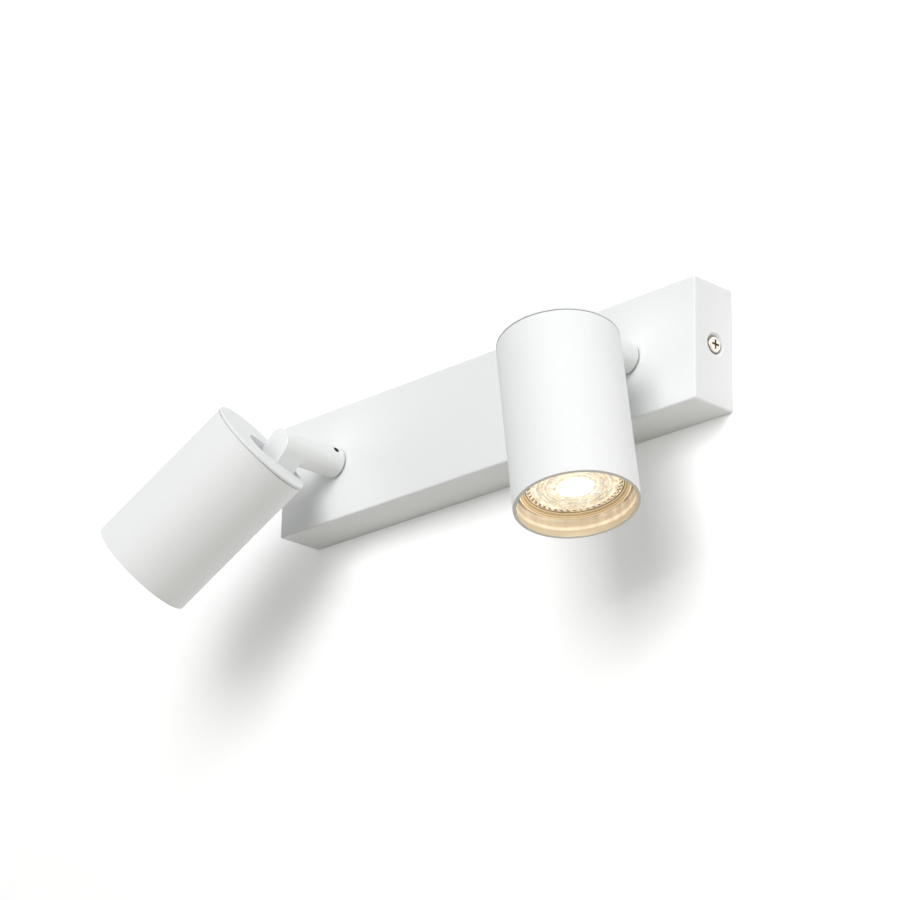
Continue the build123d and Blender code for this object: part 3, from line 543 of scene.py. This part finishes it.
# %% Model the lenses
LENS_EDGE, LENS_BACK, LENS_RADIUS = 75.6, 72.0, 21.8
CROWN = ((0, 76.9), (5, 76.75), (7.8, 76.45), (8.8, 75.8))
BAND_FLOOR, RIDGE_TOP, TOOTH_FLOOR = 75.9, 76.2, 75.5
RIDGES = ((9.7, 10.7), (13.8, 14.4), (16.9, 17.7), (18.8, 19.2))
FACET_RINGS = {12.2: 34, 15.7: 44, 18.2: 54}
FACET_SIDES, FACET_FOOT, FACET_TOP, FACET_HEIGHT, FACET_MIDDLE = 6, 1.05, 0.35, 0.5, 76.1
TOOTH_RING = (19.6, 21.0)
TOOTH_COUNT = 44
TOOTH_SIZE = (2.6, 1.0, 0.48)
TOOTH_SLANT = math.radians(57)
TOOTH_SLOPE, TOOTH_SINK = 0.30, 0.02
SPIN_STEPS, WELD = 96, 1e-5


def lens_profile():
    """The half section of the lens as (radius, depth) from the front's middle to the back's middle."""
    points = list(CROWN)
    for start, end in RIDGES:
        points += [(start, BAND_FLOOR), ((start + end) / 2, RIDGE_TOP), (end, BAND_FLOOR)]
    points += [(TOOTH_RING[0], TOOTH_FLOOR), (TOOTH_RING[1], TOOTH_FLOOR), (TOOTH_RING[1], BAND_FLOOR)]
    return points + [(LENS_RADIUS, LENS_EDGE), (LENS_RADIUS, LENS_BACK), (0, LENS_BACK)]


def spun(mesh, points):
    """Spins a chain of (radius, depth) points into a closed round body."""
    corners = [mesh.verts.new((radius, 0, depth)) for radius, depth in points]
    chain = [mesh.edges.new(pair) for pair in zip(corners, corners[1:])]
    bmesh.ops.spin(mesh, geom=corners + chain, cent=(0, 0, 0), axis=(0, 0, 1), angle=2 * math.pi,
                   steps=SPIN_STEPS, use_merge=True)
    bmesh.ops.remove_doubles(mesh, verts=mesh.verts, dist=WELD)
    bmesh.ops.recalc_face_normals(mesh, faces=mesh.faces)


def copied_round(mesh, made, count):
    """Copies what was made round the axis until there are count of it."""
    corners = made["verts"]
    edges = {edge for corner in corners for edge in corner.link_edges}
    faces = {face for corner in corners for face in corner.link_faces}
    share = 2 * math.pi / count
    bmesh.ops.spin(mesh, geom=[*corners, *edges, *faces], cent=(0, 0, 0), axis=(0, 0, 1),
                   angle=2 * math.pi - share, steps=count - 1, use_duplicate=True)


def lens_mesh():
    """The whole lens in the head's frame, in millimetres."""
    mesh = bmesh.new()
    spun(mesh, lens_profile())
    for radius, count in FACET_RINGS.items():
        spot = Matrix.Translation((radius, 0, FACET_MIDDLE))
        facet = bmesh.ops.create_cone(mesh, cap_ends=True, segments=FACET_SIDES, radius1=FACET_FOOT,
                                      radius2=FACET_TOP, depth=FACET_HEIGHT, matrix=spot)
        copied_round(mesh, facet, count)
    length, width, height = TOOTH_SIZE
    middle = Vector((sum(TOOTH_RING) / 2, 0, TOOTH_FLOOR + height / 2 - TOOTH_SINK))
    spot = Matrix.Translation(middle) @ Matrix.Rotation(TOOTH_SLANT, 4, "Z")
    tooth = bmesh.ops.create_cube(mesh, size=1.0, matrix=spot @ Matrix.Diagonal((length, width, height, 1)))
    upper = [corner for corner in tooth["verts"] if corner.co.z > TOOTH_FLOOR + height / 2]
    low_side = [corner for corner in upper if corner.co.y > 0]
    bmesh.ops.translate(mesh, verts=low_side, vec=(0, 0, -TOOTH_SLOPE))
    copied_round(mesh, tooth, TOOTH_COUNT)
    return mesh


lenses = {}
for side in SIDES:
    made = lens_mesh()
    bmesh.ops.transform(made, matrix=head_frame(side) @ Matrix.Scale(MM, 4), verts=made.verts)
    data = bpy.data.meshes.new(f"{side}_moulded_lens")
    made.to_mesh(data)
    made.free()
    lens = bpy.data.objects.new(f"{side}_moulded_lens", data)
    scene.collection.objects.link(lens)
    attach(lens, f"{side}_lamp")
    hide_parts(f"{side}_lamp_lens")
    lenses[side] = lens
    print(lens.name, "has", len(data.polygons), "faces")

# %% [markdown]
# ## Lit polycarbonate
# Clear polycarbonate in front of a lit chip shows the chip's light and not itself: white in the crown,
# cream in the facets, each of which throws the light its own way, and dark between the teeth. Light
# through real clear plastic would need very many samples, so the glow is given to the lens itself. The
# distance from the axis sets the crown's glow and that of each ring. Cells in rings, 44 round and
# 0.9 mm deep, vary the glow and its tint from facet to facet. Low in the gaps of the teeth the glow is
# weaker and painted shade darkens the colour.

# %% Light the lenses
CROWN_GLOW, CROWN_FADE = 9.0, (5.0, 8.4)
FACET_GLOW = (0.32, 1.02)
FACETS_ROUND, FACET_DEPTH = 44, 0.9
TINT_GOLD, TINT_WHITE = "#FFE2B2", "#FFFAF0"
# The gaps of the teeth get weaker glow and a colour of painted shade.
GAP_HEIGHT, GAP_SHADE, GAP_PAINTED_SHADE = 0.2, 0.34, "#8A6C42"
RING_GLOW = {0: 0.60, 8.6: 0.80, 9.2: 0.52, 10.2: 1.20, 11.1: 0.50, 11.9: 0.80, 12.8: 0.34, 13.7: 0.76,
             14.6: 0.34, 15.5: 0.74, 16.4: 0.32, 17.2: 0.66, 17.9: 0.86, 18.6: 0.56, 19.2: 0.54, 20.2: 0.50,
             21.2: 0.50, LENS_RADIUS: 0.42}


def lens_finish(side):
    """Clear plastic that glows from within, brightest in its crown."""
    material = grained(f"{side}_lit_polycarbonate", "#D8CDB8", "#EFE7D8",
                       grain=0.8, gloss=(0.08, 0.18), bump=0.002, ior=1.585)
    tree = material.node_tree
    shader = tree.nodes["Principled BSDF"]
    own, distance = in_frame(tree, head_frame(side))
    spot = add(tree, "SeparateXYZ", {"Vector": own})
    crown = add(tree, "MapRange", {"Value": distance, "From Min": CROWN_FADE[0], "From Max": CROWN_FADE[1],
                                   "To Min": CROWN_GLOW, "To Max": 0.0}, interpolation_type="SMOOTHSTEP")
    angle = add(tree, "Math", {0: spot.outputs["Y"], 1: spot.outputs["X"]}, operation="ARCTAN2")
    unrolled = add(tree, "Mapping", {"Vector": add(tree, "CombineXYZ", {"X": angle, "Y": distance}),
                                     "Scale": (FACETS_ROUND / (2 * math.pi), 1 / FACET_DEPTH, 1)})
    cells = add(tree, "TexVoronoi", {"Vector": unrolled, "Scale": 1.0}, voronoi_dimensions="2D")
    chance = add(tree, "SeparateColor", {"Color": cells.outputs["Color"]})
    sparkle = add(tree, "MapRange", {"Value": chance, "To Min": FACET_GLOW[0], "To Max": FACET_GLOW[1]})
    tint = add(tree, "Mix", {"Factor": chance.outputs["Green"],
                             "A": linear(TINT_GOLD), "B": linear(TINT_WHITE)}, data_type="RGBA")
    rings = levels_along(tree, distance, RING_GLOW)
    level = add(tree, "Math", {0: sparkle, 1: rings}, operation="MULTIPLY")
    in_ring = add(tree, "Math", {0: distance, 1: TOOTH_RING[0]}, operation="GREATER_THAN")
    low = add(tree, "Math", {0: spot.outputs["Z"], 1: TOOTH_FLOOR + GAP_HEIGHT}, operation="LESS_THAN")
    gap = add(tree, "Math", {0: in_ring, 1: low}, operation="MULTIPLY")
    light = add(tree, "MapRange", {"Value": gap, "To Min": 1.0, "To Max": GAP_SHADE})
    level = add(tree, "Math", {0: level, 1: light}, operation="MULTIPLY")
    mixed_in(tree, gap, GAP_PAINTED_SHADE)
    feed(tree, shader.inputs["Emission Color"], tint)
    feed(tree, shader.inputs["Emission Strength"], add(tree, "Math", {0: level, 1: crown}, operation="ADD"))
    return material


for side in SIDES:
    lenses[side].data.materials.append(lens_finish(side))
    print(lenses[side].name, "is lit")

# %% [markdown]
# ## The wall
# The bar hangs on a plain white wall, which runs down into a pale floor in one round cove. The wall
# shows the object's soft shadow. It is one rectangle whose lower edge is pulled out into the floor and
# then rounded. Four cuts round the bar's outline free a small face behind it, and that face is taken
# out, so that the bar's back can be looked at and lit.

# %% Build the wall
WALL_GAP = 0.4 * MM
WALL_HALF_WIDTH, WALL_TOP, FLOOR_LEVEL, FLOOR_REACH = 3.0, 2.5, -0.8, 3.5
COVE_RADIUS, COVE_STEPS, COVE_ROUND = 0.35, 16, 0.5
UPRIGHT = 0.99
OPENING_MARGIN = 1.5 * MM
bar_low, bar_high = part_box("bar_cover")


def behind_bar(face):
    """Whether a face of the wall lies behind the bar."""
    middle = face.calc_center_median()
    return bar_low.x < middle.x < bar_high.x and bar_low.z < middle.z < bar_high.z


wall_mesh = bmesh.new()
wall_corners = [wall_mesh.verts.new((x, WALL_GAP, z)) for x, z in
                ((-WALL_HALF_WIDTH, FLOOR_LEVEL), (WALL_HALF_WIDTH, FLOOR_LEVEL),
                 (WALL_HALF_WIDTH, WALL_TOP), (-WALL_HALF_WIDTH, WALL_TOP))]
wall_mesh.faces.new(wall_corners)
foot = [edge for edge in wall_mesh.edges if all(corner.co.z == FLOOR_LEVEL for corner in edge.verts)]
grown = bmesh.ops.extrude_edge_only(wall_mesh, edges=foot)["geom"]
bmesh.ops.translate(wall_mesh, vec=(0, -FLOOR_REACH, 0),
                    verts=[part for part in grown if isinstance(part, bmesh.types.BMVert)])
bmesh.ops.bevel(wall_mesh, geom=foot, offset=COVE_RADIUS, offset_type="OFFSET", affect="EDGES",
                segments=COVE_STEPS, profile=COVE_ROUND, material=-1)
for corner, inward in ((bar_low, 1), (bar_high, -1)):
    for axis in ((1, 0, 0), (0, 0, 1)):
        spot = corner + Vector(axis) * inward * OPENING_MARGIN
        upright = [face for face in wall_mesh.faces if abs(face.normal.y) > UPRIGHT]
        geometry = {part for face in upright for part in (face, *face.edges, *face.verts)}
        bmesh.ops.bisect_plane(wall_mesh, geom=list(geometry), plane_co=spot, plane_no=axis)
hole = [face for face in wall_mesh.faces if behind_bar(face)]
bmesh.ops.delete(wall_mesh, geom=hole, context="FACES")
wall_mesh.normal_update()
if max(wall_mesh.faces, key=lambda face: face.calc_center_median().z).normal.y > 0:
    bmesh.ops.reverse_faces(wall_mesh, faces=wall_mesh.faces)
wall_data = bpy.data.meshes.new("studio_wall")
wall_mesh.to_mesh(wall_data)
wall_mesh.free()
wall = bpy.data.objects.new("studio_wall", wall_data)
scene.collection.objects.link(wall)
print("wall of", len(wall_data.polygons), "faces, with an opening of", len(hole), "face")

# %% [markdown]
# ## Wall paint and sky
# A wall that only scatters light looks grey in a picture, so it also gives the camera, and anything
# glossy, a little light of its own that lifts it to white, and this lights nothing else. Seen from
# behind, the wall is clear. The floor is a little warmer than the wall. The sky round them is white to
# the camera, to gloss and to glass, and only a weak fill to everything else.

# %% Paint the wall and the world
WALL_PAINT, FLOOR_PAINT = "#FDFDFD", "#F4EFE2"
WALL_LIFT = 0.165
SKY_FILL = 0.05


def background_share(tree):
    """Adds nodes that give 1 to rays of the camera, of gloss and of glass, and 0 to the rest."""
    path = add(tree, "LightPath")
    total = path.outputs["Is Camera Ray"]
    for name in ("Is Glossy Ray", "Is Transmission Ray"):
        total = add(tree, "Math", {0: total, 1: path.outputs[name]}, operation="MAXIMUM")
    return total


def studio_paint(name, colour):
    """Matt paint, lifted to white for the camera, that can be seen only from its front."""
    material = bpy.data.materials.new(name)
    material.use_nodes = True
    tree = material.node_tree
    tree.nodes.remove(tree.nodes["Principled BSDF"])
    lift = add(tree, "MapRange", {"Value": background_share(tree), "To Max": WALL_LIFT})
    lifted = add(tree, "AddShader", {0: add(tree, "BsdfDiffuse", {"Color": linear(colour)}),
                                     1: add(tree, "Emission", {"Strength": lift})})
    one_way = add(tree, "MixShader", {0: add(tree, "NewGeometry").outputs["Backfacing"], 1: lifted,
                                      2: add(tree, "BsdfTransparent")})
    feed(tree, tree.nodes["Material Output"].inputs["Surface"], one_way)
    return material


wall_data.materials.append(studio_paint("matt_wall_paint", WALL_PAINT))
wall_data.materials.append(studio_paint("matt_floor_paint", FLOOR_PAINT))
for face in wall_data.polygons:
    face.material_index = 0 if abs(face.normal.y) > UPRIGHT else 1

world = bpy.data.worlds.new("studio")
scene.world = world
world.use_nodes = True
world_tree = world.node_tree
sky = world_tree.nodes["Background"]
sky.inputs["Color"].default_value = (1, 1, 1, 1)
sky_level = add(world_tree, "MapRange", {"Value": background_share(world_tree),
                                         "To Min": SKY_FILL, "To Max": 1.0})
feed(world_tree, sky.inputs["Strength"], sky_level)
print("wall lifted by", WALL_LIFT, "and sky fill", SKY_FILL)

# %% [markdown]
# ## The light
# The photograph has one large soft light in front of the wall, above and to the right. Its shadows have
# dark middles and no edges, so two panels share it: a smaller one gives the middles and a much wider
# one the soft rims. A small warm panel below stands for light thrown back by the floor, and weak panels
# at the left and at the upper right for light from the rest of the room. A panel behind the wall
# reaches only the object's back, through the wall's opening. A panel's power follows from the level it
# has to give at its distance: a white surface that faces it then renders at that level. Each panel is
# written as its azimuth and elevation in degrees, its distance and side in metres, its level and its
# colour.

# %% Set the lamps
AIM_OF_LIGHT = Vector((0.0, -0.05, -0.02))
PANELS = {"front_panel": (25, 16, 4.0, 1.9, 0.52, "#FFFFFF"),
          "wide_panel": (15, 18, 4.0, 4.8, 0.355, "#FFFFFF"),
          "low_panel": (90, -65, 0.75, 0.8, 0.20, "#FFFAE2"),
          "left_panel": (-75, 10, 2.5, 1.4, 0.178, "#FFFFFF"),
          "right_panel": (70, 40, 2.5, 1.4, 0.14, "#FFFFFF"),
          "back_panel": (190, 25, 1.8, 1.2, 0.85, "#FFFFFF")}


def panel(name, azimuth, elevation, distance, side_length, level, colour):
    """A square soft light, aimed at the object, that lights a white surface facing it to a level."""
    half_view = side_length / 2 / distance
    slope = half_view / math.hypot(1, half_view)
    share_of_view = 4 / math.pi * slope * math.atan(slope)
    data = bpy.data.lights.new(name, "AREA")
    data.size = side_length
    data.color = linear(colour)[:3]
    data.energy = level * math.pi * side_length ** 2 / share_of_view
    away = direction(azimuth, elevation)
    light = bpy.data.objects.new(name, data)
    light.matrix_world = (Matrix.Translation(AIM_OF_LIGHT + away * distance)
                          @ away.to_track_quat("Z", "Y").to_matrix().to_4x4())
    light.visible_camera = False
    scene.collection.objects.link(light)
    print(name, "at", distance, "m with", round(data.energy, 1), "W")


for name, values in PANELS.items():
    panel(name, *values)
